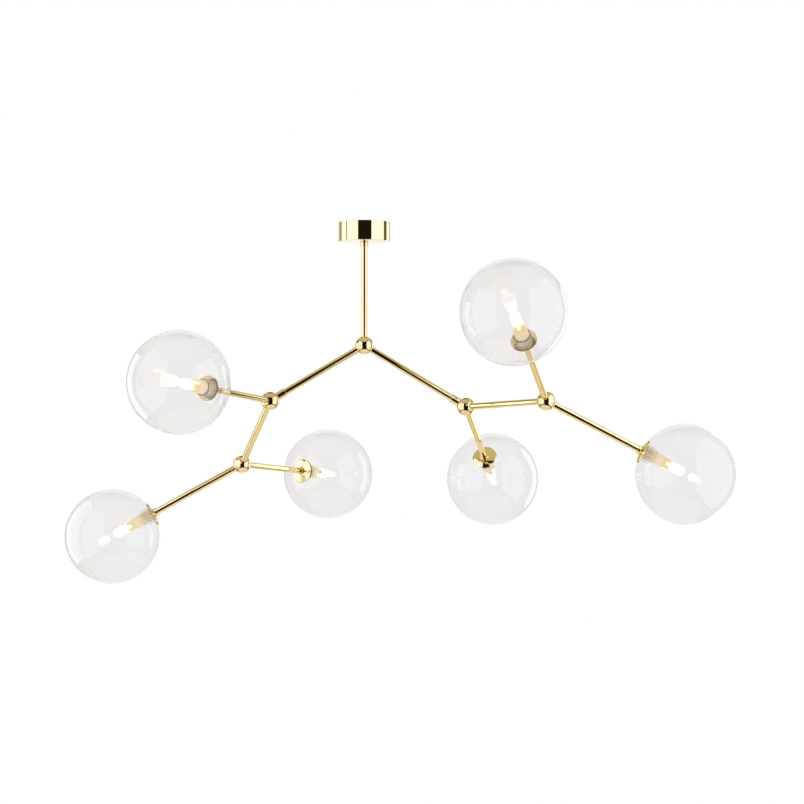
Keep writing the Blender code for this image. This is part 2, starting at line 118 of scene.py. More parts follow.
def rounded(corners, radii, closed=True, steps=ROUNDING_STEPS):
    """An outline with rounded corners: a parabola from one radius before each to one after it.

    Point t of a corner P between A and B is (1-t)^2 A + 2t(1-t) P + t^2 B.
    """
    corners = np.asarray(corners, float)
    radii = np.broadcast_to(np.asarray(radii, float), len(corners))[:, None]

    def toward(neighbours):
        way = neighbours - corners
        return corners + radii * way / np.maximum(np.linalg.norm(way, axis=1, keepdims=True), 1e-9)

    before = toward(np.roll(corners, 1, axis=0))[:, None]
    after = toward(np.roll(corners, -1, axis=0))[:, None]
    t = np.linspace(0.0, 1.0, steps)[None, :, None]
    outline = ((1 - t) ** 2 * before + 2 * t * (1 - t) * corners[:, None] + t**2 * after).reshape(-1, 2)
    return np.concatenate([outline, outline[:1]]) if closed else outline


def turned(profile, segments, ripple=None):
    """A surface of revolution about +Z: each (radius, height) of the profile goes round a circle.

    x = r cos a, y = r sin a, z = height, where ripple may change r with the height and angle a.
    """
    profile = np.asarray(profile, float)
    turns = np.linspace(0.0, 2 * np.pi, segments + 1)
    radius = profile[:, :1] + 0 * turns
    height = profile[:, 1:] + 0 * turns
    if ripple:
        radius = ripple(radius, height, turns)
    return surface(np.stack([radius * np.cos(turns), radius * np.sin(turns), height], axis=-1))


def pipe_profile(radius, bore, low, high, edge):
    """The closed outline of a tube's wall, with rounded ends."""
    return rounded([(bore, low), (radius, low), (radius, high), (bore, high)], edge)


def rod(radius, low, high, segments=48, edge=0.0):
    """A solid round bar on +Z with rounded ends."""
    corners = [(0.0, low), (radius, low), (radius, high), (0.0, high)]
    return turned(rounded(corners, [0.0, edge, edge, 0.0], closed=False), segments)


def aimed(point, toward=UP):
    """The matrix that puts a mesh's origin at the point and turns its +Z the short way to toward."""
    return Matrix.Translation(point) @ UP.rotation_difference(toward).to_matrix().to_4x4()


def placed(mesh, matrix):
    """A copy of the mesh, moved by the matrix."""
    copy = mesh.copy()
    copy.transform(matrix)
    return copy


def carved(mesh, *tools):
    """The mesh after an exact Boolean difference with each tool mesh."""
    blank = bpy.data.objects.new("blank", mesh)
    helpers = [blank] + [bpy.data.objects.new("tool", tool) for tool in tools]
    for helper in helpers:
        bpy.context.scene.collection.objects.link(helper)
    for helper in helpers[1:]:
        cut = blank.modifiers.new("cut", "BOOLEAN")
        cut.operation = "DIFFERENCE"
        cut.object = helper
    graph = bpy.context.evaluated_depsgraph_get()
    result = bpy.data.meshes.new_from_object(blank.evaluated_get(graph))
    for helper in helpers:
        bpy.data.objects.remove(helper, do_unlink=True)
    return smoothed(result)


def piece(name, mesh, material, slot, *nodes, body=None):
    """A named object that rides on its CAD nodes' body and stands for them."""
    thing = bpy.data.objects.new(name, mesh)
    mesh.materials.clear()
    mesh.materials.append(material)
    bpy.context.scene.collection.objects.link(thing)
    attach(thing, body or BODY_OF[nodes[0]])
    if nodes:
        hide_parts(*nodes)
    return thing


def evened(thing):
    """Lets the large faces set the shading, so that flats and tubes reflect without a ripple."""
    even = thing.modifiers.new("even_normals", "WEIGHTED_NORMAL")
    even.keep_sharp = True
    return thing


def shader_of(name, **values):
    """A new Principled material with its constants set on the shader's own sockets."""
    material = bpy.data.materials.new(name)
    material.use_nodes = True
    shader = material.node_tree.nodes["Principled BSDF"]
    for socket, value in values.items():
        shader.inputs[socket.replace("_", " ")].default_value = value
    return material


def noise(material, coordinates, scale, detail=3.0):
    """The value of a cloudy pattern on the named coordinates, scale cells to the metre each way."""
    nodes, links = material.node_tree.nodes, material.node_tree.links
    place = nodes.new("ShaderNodeTexCoord")
    mapping = nodes.new("ShaderNodeMapping")
    mapping.inputs["Scale"].default_value = scale
    clouds = nodes.new("ShaderNodeTexNoise")
    clouds.inputs["Scale"].default_value = 1.0
    clouds.inputs["Detail"].default_value = detail
    links.new(place.outputs[coordinates], mapping.inputs["Vector"])
    links.new(mapping.outputs["Vector"], clouds.inputs["Vector"])
    return clouds.outputs["Fac"]


def tinted(material, socket, pattern, first, second):
    """Feeds a colour socket with two colours mixed by the pattern."""
    nodes, links = material.node_tree.nodes, material.node_tree.links
    ramp = nodes.new("ShaderNodeValToRGB")
    ramp.color_ramp.elements[0].position = 0.35
    ramp.color_ramp.elements[0].color = (*first, 1.0)
    ramp.color_ramp.elements[1].position = 0.65
    ramp.color_ramp.elements[1].color = (*second, 1.0)
    links.new(pattern, ramp.inputs["Fac"])
    links.new(ramp.outputs["Color"], nodes["Principled BSDF"].inputs[socket])


def varied(material, socket, pattern, low, high):
    """Feeds a number socket with the pattern, run from low to high."""
    nodes, links = material.node_tree.nodes, material.node_tree.links
    spread = nodes.new("ShaderNodeMapRange")
    spread.inputs["From Min"].default_value = 0.3
    spread.inputs["From Max"].default_value = 0.7
    spread.inputs["To Min"].default_value = low
    spread.inputs["To Max"].default_value = high
    links.new(pattern, spread.inputs["Value"])
    links.new(spread.outputs["Result"], nodes["Principled BSDF"].inputs[socket])


def embossed(material, pattern, depth):
    """Raises the surface by up to depth where the pattern is high."""
    nodes, links = material.node_tree.nodes, material.node_tree.links
    bump = nodes.new("ShaderNodeBump")
    bump.inputs["Distance"].default_value = depth
    links.new(pattern, bump.inputs["Height"])
    links.new(bump.outputs["Normal"], nodes["Principled BSDF"].inputs["Normal"])


zinc_steel = shader_of("zinc_plated_steel", Metallic=1.0)
tinted(zinc_steel, "Base Color", noise(zinc_steel, "Object", (40, 40, 40)), ZINC_DARK, ZINC_LIGHT)
varied(zinc_steel, "Roughness", noise(zinc_steel, "Object", (90, 90, 90)), 0.24, 0.42)
embossed(zinc_steel, noise(zinc_steel, "Object", (900, 900, 900)), 0.000004)

plate_profile = rounded(
    [
        (0.0, 0.0),
        (PLATE_RADIUS, 0.0),
        (PLATE_RADIUS, -PLATE_THICKNESS),
        (BOSS_RADIUS, -PLATE_THICKNESS),
        (BOSS_RADIUS, -BOSS_DEPTH),
        (BOSS_BORE, -BOSS_DEPTH),
        (BOSS_BORE, -BOSS_BORE_TOP),
        (0.0, -BOSS_BORE_TOP),
    ],
    [0.0, PLATE_EDGE, PLATE_EDGE, PLATE_EDGE, PLATE_EDGE, PLATE_EDGE, 0.0, 0.0],
    closed=False,
)
screw_hole = rod(SCREW_HOLE_RADIUS, -CUT_REACH, CUT_REACH)
ceiling_disc = carved(
    turned(plate_profile, 128),
    placed(screw_hole, Matrix.Translation((SCREW_HOLE_OFFSET, 0, 0))),
    placed(screw_hole, Matrix.Translation((-SCREW_HOLE_OFFSET, 0, 0))),
    placed(rod(SUPPLY_HOLE_RADIUS, -CUT_REACH, CUT_REACH), Matrix.Translation((0, SUPPLY_HOLE_OFFSET, 0))),
    placed(rod(WIRE_PORT_RADIUS, 0.0, CUT_REACH), aimed(Vector((0, 0, -WIRE_PORT_DEPTH)), FRONT)),
)
evened(piece("ceiling_disc", ceiling_disc, zinc_steel, "steel", "ceiling_plate"))


# Nipple and lock nut: plated steel threads that hold the stem up in the plate's boss. The
# nipple is an all-thread tube, and the nut is a thin hexagon with chamfered corners.
NIPPLE_RADIUS = 0.0037
NIPPLE_BORE = 0.0025
NIPPLE_TOP = -0.0085
NIPPLE_FOOT = -0.032
NIPPLE_PITCH = 0.001
NIPPLE_THREAD_DEPTH = 0.0004
NIPPLE_EDGE = 0.0003
NIPPLE_CLEARANCE = 0.0003
NUT_CORNER_RADIUS = 0.0075
NUT_CHAMFER = 0.0007
NUT_TOP = -0.0143
NUT_FOOT = -0.0178


def threaded(pitch, depth, core, low, high):
    """A ripple that cuts a round-bottomed thread into what lies outside the core radius.

    The cut is depth * (1 - cos(2 pi height / pitch - angle)) / 2, fading out at low and high.
    """

    def ripple(radius, height, turns):
        cut = 0.5 * depth * (1 - np.cos(2 * np.pi * height / pitch - turns))
        fade = np.clip(np.minimum(height - low, high - height) / pitch, 0.0, 1.0)
        return np.where(radius > core, radius - cut * fade, radius)

    return ripple


def hexagonal(corner_radius, core):
    """A ripple that mills six flats: r <= apothem / cos(angle to the middle of the nearest flat)."""

    def ripple(radius, height, turns):
        from_flat = (turns + np.pi / 6) % (np.pi / 3) - np.pi / 6
        flats = corner_radius * np.cos(np.pi / 6) / np.cos(from_flat)
        return np.where(radius > core, np.minimum(radius, flats), radius)

    return ripple


def walled(radius, bore, low, high, rows, edge):
    """A tube's closed outline with extra rows up its outside, for a ripple to shape."""
    heights = np.linspace(low + edge, high - edge, rows)
    outside = np.stack([np.full(rows, radius), heights], axis=-1)
    head = [(radius - edge, high), (bore, high)]
    foot = [(bore, low), (radius - edge, low)]
    return np.concatenate([foot, outside, head, foot[:1]])


nipple_profile = walled(NIPPLE_RADIUS, NIPPLE_BORE, NIPPLE_FOOT, NIPPLE_TOP, 190, NIPPLE_EDGE)
nipple_thread = threaded(NIPPLE_PITCH, NIPPLE_THREAD_DEPTH, NIPPLE_BORE * 1.1, NIPPLE_FOOT, NIPPLE_TOP)
piece("nipple_thread", turned(nipple_profile, 36, nipple_thread), zinc_steel, "steel", "stem_nipple")
nut_bore = NIPPLE_RADIUS + NIPPLE_CLEARANCE
nut_profile = walled(NUT_CORNER_RADIUS, nut_bore, NUT_FOOT, NUT_TOP, 14, NUT_CHAMFER)
nut_flats = hexagonal(NUT_CORNER_RADIUS, NIPPLE_RADIUS * 1.3)
evened(piece("hexagon_lock_nut", turned(nut_profile, 120, nut_flats), zinc_steel, "steel", "stem_lock_nut"))


# Terminal block: a moulded white plastic body with two brass-plated clamp screws in wells
# below, where the house wires meet the lamp's. It hangs beside the boss, over the canopy.
BLOCK_LOW, BLOCK_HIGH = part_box("terminal_block")
BLOCK_MIDDLE = (BLOCK_LOW + BLOCK_HIGH) / 2
BLOCK_EDGE = 0.0012
TERMINAL_SPACING = 0.012
WELL_RADIUS = 0.0019
WELL_DEPTH = 0.004
ENTRY_RISE = 0.002
CLAMP_SCREW_RADIUS = 0.0017
CLAMP_SCREW_HEAD = 0.0018
CLAMP_SCREW_EDGE = 0.0002
CLAMP_SCREW_STAND = 0.0002
CLAMP_SLOT = (0.0028, 0.0006, 0.0008)
PLASTIC_LIGHT = (0.88, 0.88, 0.85)
PLASTIC_DARK = (0.82, 0.82, 0.79)


def block(size, centre, edge=0.0):
    """A box with rounded edges."""
    form = bmesh.new()
    bmesh.ops.create_cube(form, size=1.0, matrix=Matrix.Translation(centre) @ Matrix.Diagonal((*size, 1.0)))
    if edge:
        bmesh.ops.bevel(form, geom=form.edges, offset=edge, segments=3, profile=0.5, affect="EDGES")
    mesh = bpy.data.meshes.new("block")
    form.to_mesh(mesh)
    form.free()
    mesh.uv_layers.new(name="wrap")
    return smoothed(mesh)


white_plastic = shader_of("terminal_plastic", IOR=1.5)
tinted(white_plastic, "Base Color", noise(white_plastic, "Object", (60, 60, 60)), PLASTIC_DARK, PLASTIC_LIGHT)
varied(white_plastic, "Roughness", noise(white_plastic, "Object", (500, 500, 500)), 0.36, 0.52)
embossed(white_plastic, noise(white_plastic, "Object", (2500, 2500, 2500)), 0.00002)

wells = []
clamp_screws = []
for side in (-1, 1):
    across = BLOCK_MIDDLE + Vector((side * TERMINAL_SPACING / 2, 0, 0))
    below = Vector((across.x, across.y, BLOCK_LOW.z))
    entry = Vector((across.x, BLOCK_LOW.y, across.z + ENTRY_RISE))
    wells.append(placed(rod(WELL_RADIUS, -WELL_DEPTH, WELL_DEPTH), Matrix.Translation(below)))
    wells.append(placed(rod(WELL_RADIUS, -WELL_DEPTH / 2, WELL_DEPTH), aimed(entry, FRONT)))
    head = carved(
        rod(CLAMP_SCREW_RADIUS, -CLAMP_SCREW_HEAD, 0.0, 40, CLAMP_SCREW_EDGE),
        block(CLAMP_SLOT, (0, 0, -CLAMP_SCREW_HEAD)),
    )
    clamp_screws.append(placed(head, Matrix.Translation(below + UP * (WELL_DEPTH - CLAMP_SCREW_STAND))))
body_block = carved(block(BLOCK_HIGH - BLOCK_LOW, BLOCK_MIDDLE, BLOCK_EDGE), *wells)
evened(piece("terminal_body", body_block, white_plastic, "terminal_plastic", "terminal_block"))
for side, head in zip(("left", "right"), clamp_screws):
    evened(piece(side + "_clamp_screw", head, zinc_steel, "steel", body="frame"))


# Canopy: a deep-drawn brass cup, polished to a mirror and lacquered, which hides the plate.
# It slides down the stem once its collar's grub screw is slackened.
CANOPY_LOW, CANOPY_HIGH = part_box("canopy_cover")
CANOPY_RADIUS = (CANOPY_HIGH.x - CANOPY_LOW.x) / 2
CANOPY_WALL = 0.0012
CANOPY_EDGE = 0.0011
CANOPY_LIP = 0.0004
CANOPY_HOLE = 0.0056
BRASS_PALE = (0.94, 0.76, 0.40)
BRASS_DEEP = (0.92, 0.73, 0.34)
BRASS_SMEAR = (9, 9, 9)
BRASS_HAZE = (45, 45, 45)
LINES_ALONG = (260, 12, 1)
LINES_ROUND = (12, 260, 1)
POLISHING_DEPTH = 0.0000004


def polished_brass(name, lines):
    """Mirror brass under clear lacquer, with faint smears and polishing lines along the UV map."""
    brass = shader_of(name, Metallic=1.0, Coat_Weight=0.3, Coat_Roughness=0.02, Coat_IOR=1.5)
    tinted(brass, "Base Color", noise(brass, "Object", BRASS_SMEAR), BRASS_DEEP, BRASS_PALE)
    varied(brass, "Roughness", noise(brass, "Object", BRASS_HAZE), 0.02, 0.06)
    embossed(brass, noise(brass, "UV", lines, 1.0), POLISHING_DEPTH)
    return brass


turned_brass = polished_brass("turned_brass", LINES_ROUND)
drawn_brass = polished_brass("drawn_brass", LINES_ALONG)
cup_inside = CANOPY_RADIUS - CANOPY_WALL
cup_profile = rounded(
    [
        (CANOPY_HOLE, CANOPY_LOW.z),
        (CANOPY_RADIUS, CANOPY_LOW.z),
        (CANOPY_RADIUS, CANOPY_HIGH.z),
        (cup_inside, CANOPY_HIGH.z),
        (cup_inside, CANOPY_LOW.z + CANOPY_WALL),
        (CANOPY_HOLE, CANOPY_LOW.z + CANOPY_WALL),
    ],
    [CANOPY_LIP, CANOPY_EDGE, CANOPY_LIP, CANOPY_LIP, CANOPY_LIP, CANOPY_LIP],
)
evened(piece("canopy_cup", turned(cup_profile, 256), turned_brass, "brass", "canopy_cover"))


# Collars and grub screws: turned brass rings with a cross hole for a small hexagon-socket
# screw. One holds the canopy up, and one on each main arm lets its branch swivel and lock.
COLLAR_BORE = 0.0053
CANOPY_COLLAR_RADIUS = 0.0065
SWIVEL_COLLAR_RADIUS = 0.0063
SWIVEL_COLLAR_LENGTH = 0.013
SWIVEL_COLLAR_START = 0.0136
COLLAR_EDGE = 0.0005
GRUB_RADIUS = 0.0013
GRUB_EDGE = 0.0002
GRUB_CLEARANCE = 0.0002
GRUB_INNER_END = 0.0054
GRUB_STAND = 0.0005
GRUB_SOCKET_RADIUS = 0.0008
GRUB_SOCKET_DEPTH = 0.0009
HEXAGON = 6
JOINTS = {joint["name"]: joint for joint in frame["joints"]}


def middle(node):
    """The middle of a CAD node's box."""
    low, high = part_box(node)
    return (low + high) / 2


def across_axis(axis, wanted):
    """The unit vector square to the axis that is nearest to the wanted one."""
    return (wanted - axis * wanted.dot(axis)).normalized()


def drilled_collar(radius, length, screw_way):
    """A ring on +Z with a cross hole half way along it."""
    hole = rod(GRUB_RADIUS + GRUB_CLEARANCE, 0.0, CUT_REACH)
    hole = placed(hole, aimed(Vector((0, 0, length / 2)), screw_way))
    return carved(turned(pipe_profile(radius, COLLAR_BORE, 0.0, length, COLLAR_EDGE), 128), hole)


grub_top = SWIVEL_COLLAR_RADIUS + GRUB_STAND
hexagon_socket = rod(GRUB_SOCKET_RADIUS, grub_top - GRUB_SOCKET_DEPTH, CUT_REACH, HEXAGON)
grub_screw = carved(rod(GRUB_RADIUS, GRUB_INNER_END, grub_top, edge=GRUB_EDGE), hexagon_socket)

collar_low, collar_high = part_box("canopy_collar")
ring = drilled_collar(CANOPY_COLLAR_RADIUS, collar_high.z - collar_low.z, FRONT)
foot = Vector((0, 0, collar_low.z))
evened(piece("canopy_stop_ring", placed(ring, aimed(foot)), turned_brass, "brass", "canopy_collar"))
screw_place = aimed(Vector((0, 0, (collar_low.z + collar_high.z) / 2)), FRONT)
evened(piece("canopy_stop_screw", placed(grub_screw, screw_place), zinc_steel, "steel", "canopy_grub_screw"))

SWIVEL_SCREW_SIDES = {"left": Vector((0.0, 1.0, 0.6)), "right": Vector((0.0, -1.0, 0.6))}
for side, toward in SWIVEL_SCREW_SIDES.items():
    back_along = -Vector(JOINTS[side + "_swivel"]["axis"]).normalized()
    foot = Vector(JOINTS[side + "_swivel"]["pos_m"]) + back_along * SWIVEL_COLLAR_START
    screw_way = across_axis(back_along, toward)
    local_way = aimed(Vector(), back_along).inverted() @ screw_way
    ring = drilled_collar(SWIVEL_COLLAR_RADIUS, SWIVEL_COLLAR_LENGTH, local_way)
    ring = placed(ring, aimed(foot, back_along))
    evened(piece(side + "_swivel_ring", ring, turned_brass, "brass", side + "_swivel_collar"))
    screw = placed(grub_screw, aimed(foot + back_along * (SWIVEL_COLLAR_LENGTH / 2), screw_way))
    evened(piece(side + "_swivel_set_screw", screw, zinc_steel, "steel", side + "_swivel_screw"))


# Stem and arms: drawn brass tube, 10 mm across with a 1 mm wall, cut square, its ends
# broken, polished and lacquered. Each end is soldered into a ball or a lamp's disc.
TUBE_RADIUS = 0.005
TUBE_BORE = 0.004
TUBE_END = 0.0003
TUBE_START = 0.0098
LAMP_TUBE_END = 0.1579
LAMP_REACH = 0.235
LEFT_BALL = Vector(JOINTS["left_swivel"]["pos_m"])
RIGHT_BALL = Vector(JOINTS["right_swivel"]["pos_m"])
HUB = 2 * middle("left_main_arm") - LEFT_BALL
LOWER_LEFT_BALL = 2 * middle("left_link_arm") - LEFT_BALL
FAR_RIGHT_BALL = 2 * middle("right_link_arm") - RIGHT_BALL
ARMS = {
    "left_main": (HUB, LEFT_BALL),
    "right_main": (HUB, RIGHT_BALL),
    "left_link": (LEFT_BALL, LOWER_LEFT_BALL),
    "right_link": (RIGHT_BALL, FAR_RIGHT_BALL),
}
LAMP_BALLS = {
    "upper_left": LEFT_BALL,
    "lower_left": LOWER_LEFT_BALL,
    "inner_left": LOWER_LEFT_BALL,
    "upper_right": FAR_RIGHT_BALL,
    "inner_right": RIGHT_BALL,
    "far_right": FAR_RIGHT_BALL,
}
LAMP_WAYS = {lamp: Vector(JOINTS[lamp + "_globe_off"]["axis"]).normalized() for lamp in LAMP_BALLS}


def tube(start, end):
    """A tube on +Z between two heights."""
    return turned(pipe_profile(TUBE_RADIUS, TUBE_BORE, start, end, TUBE_END), 96)


stem_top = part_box("stem_tube")[1].z - HUB.z
stem = placed(tube(TUBE_START, stem_top), aimed(HUB))
evened(piece("stem_drawn_tube", stem, drawn_brass, "brass", "stem_tube"))
for arm, (start, end) in ARMS.items():
    way = end - start
    between = placed(tube(TUBE_START, way.length - TUBE_START), aimed(start, way))
    evened(piece(arm + "_tube", between, drawn_brass, "brass", arm + "_arm"))
for lamp, ball in LAMP_BALLS.items():
    arm = placed(tube(TUBE_START, LAMP_TUBE_END), aimed(ball, LAMP_WAYS[lamp]))
    evened(piece(lamp + "_lamp_tube", arm, drawn_brass, "brass", lamp + "_arm"))


# Ball joints: solid brass balls, turned and drilled with a stepped socket for each tube,
# with a small chamfer round each mouth, then polished with the tubes in place.
BALL_RADIUS = 0.0143
BALL_SEGMENTS = 160
SOCKET_RADIUS = 0.00515
SOCKET_SHOULDER = 0.0095
CHAMFER_FOOT = 0.01262
BALL_WAYS = {
    "hub_ball": (HUB, [UP, LEFT_BALL - HUB, RIGHT_BALL - HUB]),
    "left_ball": (LEFT_BALL, [HUB - LEFT_BALL, LOWER_LEFT_BALL - LEFT_BALL]),
    "right_ball": (RIGHT_BALL, [HUB - RIGHT_BALL, FAR_RIGHT_BALL - RIGHT_BALL]),
    "lower_left_ball": (LOWER_LEFT_BALL, [LEFT_BALL - LOWER_LEFT_BALL]),
    "far_right_ball": (FAR_RIGHT_BALL, [RIGHT_BALL - FAR_RIGHT_BALL]),
}
for lamp, ball in LAMP_BALLS.items():
    for centre, ways in BALL_WAYS.values():
        if centre == ball:
            ways.append(LAMP_WAYS[lamp])


def arc(radius, start, end, steps):
    """Points (r sin a, r cos a) of a circle about the origin, from angle start to end."""
    turns = np.linspace(start, end, steps)
    return np.stack([radius * np.sin(turns), radius * np.cos(turns)], axis=-1)


def true_round(mesh, radius):
    """Gives each corner of a face on the ball's own surface a true sphere's normal, p / |p|."""
    corner = np.empty(len(mesh.loops), np.int32)
    mesh.loops.foreach_get("vertex_index", corner)
    points = np.empty(len(mesh.vertices) * 3, np.float32)
    mesh.vertices.foreach_get("co", points)
    points = points.reshape(-1, 3)
    reach = np.linalg.norm(points, axis=1, keepdims=True)
    off_ball = (np.abs(reach[:, 0] - radius) > 0.002 * radius)[corner]
    starts = np.empty(len(mesh.polygons), np.int32)
    mesh.polygons.foreach_get("loop_start", starts)
    off_face = np.add.reduceat(off_ball, starts) > 0
    sizes = np.diff(np.append(starts, len(corner)))
    normals = (points / np.maximum(reach, 1e-9))[corner] * ~np.repeat(off_face, sizes)[:, None]
    mesh.normals_split_custom_set(normals.tolist())
    return mesh


round_ball = turned(arc(BALL_RADIUS, 0.0, np.pi, BALL_SEGMENTS // 2 + 1), BALL_SEGMENTS)
mouth = 2 * BALL_RADIUS
socket_tool = turned(
    [
        (0.0, 0.0),
        (TUBE_BORE, 0.0),
        (TUBE_BORE, SOCKET_SHOULDER),
        (SOCKET_RADIUS, SOCKET_SHOULDER),
        (SOCKET_RADIUS, CHAMFER_FOOT),
        (SOCKET_RADIUS + mouth - CHAMFER_FOOT, mouth),
        (0.0, mouth),
    ],
    96,
)
for node, (centre, ways) in BALL_WAYS.items():
    ball = carved(round_ball.copy(), *[placed(socket_tool, aimed(Vector(), way)) for way in ways])
    ball = true_round(ball, BALL_RADIUS)
    piece("turned_" + node, placed(ball, Matrix.Translation(centre)), turned_brass, "brass", node)


# Lamp discs: thin spun brass dishes that sit on the globe's crown, each with a short neck
# that is soldered onto the arm. Polished on both faces.
DISC_RADIUS = 0.0195
DISC_SEAT = 0.0753
DISC_RIM_THICKNESS = 0.0004
DISC_CROWN = -0.0768
DISC_NECK_RADIUS = 0.0065
DISC_NECK_END = -0.0815
DISC_FILLET = 0.0005
DISC_NECK_EDGE = 0.0002
DISC_NECK_BEND = 0.0003
DISC_STEPS = 24
DISC_CHAMFER = 0.0009
LAMP_PLACES = {
    lamp: aimed(ball + LAMP_WAYS[lamp] * LAMP_REACH, LAMP_WAYS[lamp])
    for lamp, ball in LAMP_BALLS.items()
}

rim_turn = np.arcsin(DISC_RADIUS / DISC_SEAT)
underside = arc(DISC_SEAT, np.pi - np.arcsin(TUBE_BORE / DISC_SEAT), np.pi - rim_turn, DISC_STEPS)
rim = underside[-1]
outer_radius = np.linspace(DISC_RADIUS - DISC_CHAMFER, DISC_NECK_RADIUS + DISC_FILLET, DISC_STEPS)
rim_top = rim[1] - DISC_RIM_THICKNESS - DISC_CHAMFER
rise = (rim_top - DISC_CROWN) / (outer_radius[0] ** 2 - DISC_NECK_RADIUS**2)
dome = np.stack([outer_radius, DISC_CROWN + rise * (outer_radius**2 - DISC_NECK_RADIUS**2)], axis=-1)
rim_edge = np.array([(DISC_RADIUS, rim[1] - 0.5 * DISC_RIM_THICKNESS)])
neck = rounded(
    [
        (DISC_NECK_RADIUS + DISC_FILLET, DISC_CROWN),
        (DISC_NECK_RADIUS, DISC_CROWN - DISC_FILLET),
        (DISC_NECK_RADIUS, DISC_NECK_END),
        (SOCKET_RADIUS, DISC_NECK_END),
        (SOCKET_RADIUS, DISC_CROWN),
        (TUBE_BORE, DISC_CROWN),
    ],
    [0.0, DISC_NECK_BEND, DISC_FILLET, DISC_NECK_EDGE, 0.0, 0.0],
    closed=False,
)
disc_profile = np.concatenate([underside, rim_edge, dome, neck, underside[:1]])
dished_disc = turned(disc_profile, 128)
for lamp, place in LAMP_PLACES.items():
    evened(piece(lamp + "_dished_disc", placed(dished_disc, place), turned_brass, "brass", lamp + "_disc"))


# Threaded sleeves: bright-dipped brass cups with a rolled thread, which the globe's neck
# screws onto. Left unpolished, so satin and a little browner than the arms.
SLEEVE_RADIUS = 0.01025
SLEEVE_BORE = 0.0090
SLEEVE_BACK = -0.0740
SLEEVE_WALL = 0.0015
SLEEVE_FRONT = -0.0420
SLEEVE_WIRE_HOLE = 0.0032
SLEEVE_PITCH = 0.0028
SLEEVE_THREAD_DEPTH = 0.0009
SLEEVE_EDGE = 0.0003
SLEEVE_ROWS = 190
SATIN_LIGHT = (1.0, 0.90, 0.66)
SATIN_DARK = (0.97, 0.80, 0.52)
SLEEVE_PAINTED_LIGHT = (1.0, 0.80, 0.50, 1.0)

# The sleeve's faint warm emission is painted lamplight: a glow that stands in for the bulb's light falling on
# the sleeve.
satin_brass = shader_of(
    "satin_thread_brass", Metallic=0.5, Emission_Color=SLEEVE_PAINTED_LIGHT, Emission_Strength=0.18
)
tinted(satin_brass, "Base Color", noise(satin_brass, "UV", (60, 500, 1)), SATIN_DARK, SATIN_LIGHT)
varied(satin_brass, "Roughness", noise(satin_brass, "UV", (300, 1500, 1)), 0.22, 0.38)
embossed(satin_brass, noise(satin_brass, "UV", (200, 4000, 1), 1.0), 0.000006)

sleeve_profile = np.concatenate(
    [
        [(SLEEVE_WIRE_HOLE, SLEEVE_BACK), (SLEEVE_RADIUS - SLEEVE_EDGE, SLEEVE_BACK)],
        np.stack(
            [
                np.full(SLEEVE_ROWS, SLEEVE_RADIUS),
                np.linspace(SLEEVE_BACK + SLEEVE_EDGE, SLEEVE_FRONT - SLEEVE_EDGE, SLEEVE_ROWS),
            ],
            axis=-1,
        ),
        [
            (SLEEVE_RADIUS - SLEEVE_EDGE, SLEEVE_FRONT),
            (SLEEVE_BORE, SLEEVE_FRONT),
            (SLEEVE_BORE, SLEEVE_BACK + SLEEVE_WALL),
            (SLEEVE_WIRE_HOLE, SLEEVE_BACK + SLEEVE_WALL),
            (SLEEVE_WIRE_HOLE, SLEEVE_BACK),
        ],
    ]
)
sleeve_thread = threaded(SLEEVE_PITCH, SLEEVE_THREAD_DEPTH, 1.02 * SLEEVE_BORE, SLEEVE_BACK, SLEEVE_FRONT)
threaded_sleeve = turned(sleeve_profile, 72, sleeve_thread)
for lamp, place in LAMP_PLACES.items():
    piece(lamp + "_threaded_sleeve", placed(threaded_sleeve, place), satin_brass, "brass", lamp + "_sleeve")


# Lamp holders: pressed steatite, cream and lightly glazed. Two slots take the bulb's pins,
# and four prongs of the crown grip its flat seal.
HOLDER_RADIUS = 0.0084
HOLDER_BACK = SLEEVE_BACK + SLEEVE_WALL + 0.0005
HOLDER_FRONT = -0.0280
HOLDER_EDGE = 0.0006
HOLDER_POCKET = (0.0190, 0.0058)
HOLDER_POCKET_FLOOR = -0.0400
HOLDER_NOTCH = (0.0050, 0.0190)
HOLDER_NOTCH_FLOOR = -0.0345
HOLDER_SLOT = (0.0120, 0.0024)
HOLDER_SLOT_FLOOR = -0.0505
WELL_EDGE = 0.0004
CERAMIC_PALE = (0.96, 0.86, 0.60)
CERAMIC_WARM = (0.92, 0.74, 0.38)
HOLDER_PAINTED_LIGHT = (1.0, 0.68, 0.26, 1.0)


def well(size, floor):
    """A tool for a rectangular well, open at the front, with softened corners."""
    height = 2 * (HOLDER_FRONT - floor)
    return block((*size, height), (0, 0, floor + height / 2), WELL_EDGE)


# The ceramic's warm emission is painted lamplight: a glow that stands in for the bulb's light falling on the
# holder.
ceramic = shader_of("cream_ceramic", IOR=1.52, Emission_Color=HOLDER_PAINTED_LIGHT, Emission_Strength=0.25)
tinted(ceramic, "Base Color", noise(ceramic, "Object", (180, 180, 180)), CERAMIC_WARM, CERAMIC_PALE)
varied(ceramic, "Roughness", noise(ceramic, "Object", (700, 700, 700)), 0.25, 0.45)
embossed(ceramic, noise(ceramic, "Object", (2200, 2200, 2200)), 0.00003)

holder_body = carved(
    rod(HOLDER_RADIUS, HOLDER_BACK, HOLDER_FRONT, 96, HOLDER_EDGE),
    well(HOLDER_POCKET, HOLDER_POCKET_FLOOR),
    well(HOLDER_NOTCH, HOLDER_NOTCH_FLOOR),
    well(HOLDER_SLOT, HOLDER_SLOT_FLOOR),
)
for lamp, place in LAMP_PLACES.items():
    holder = placed(holder_body, place)
    evened(piece(lamp + "_crown_holder", holder, ceramic, "ceramic", lamp + "_holder"))


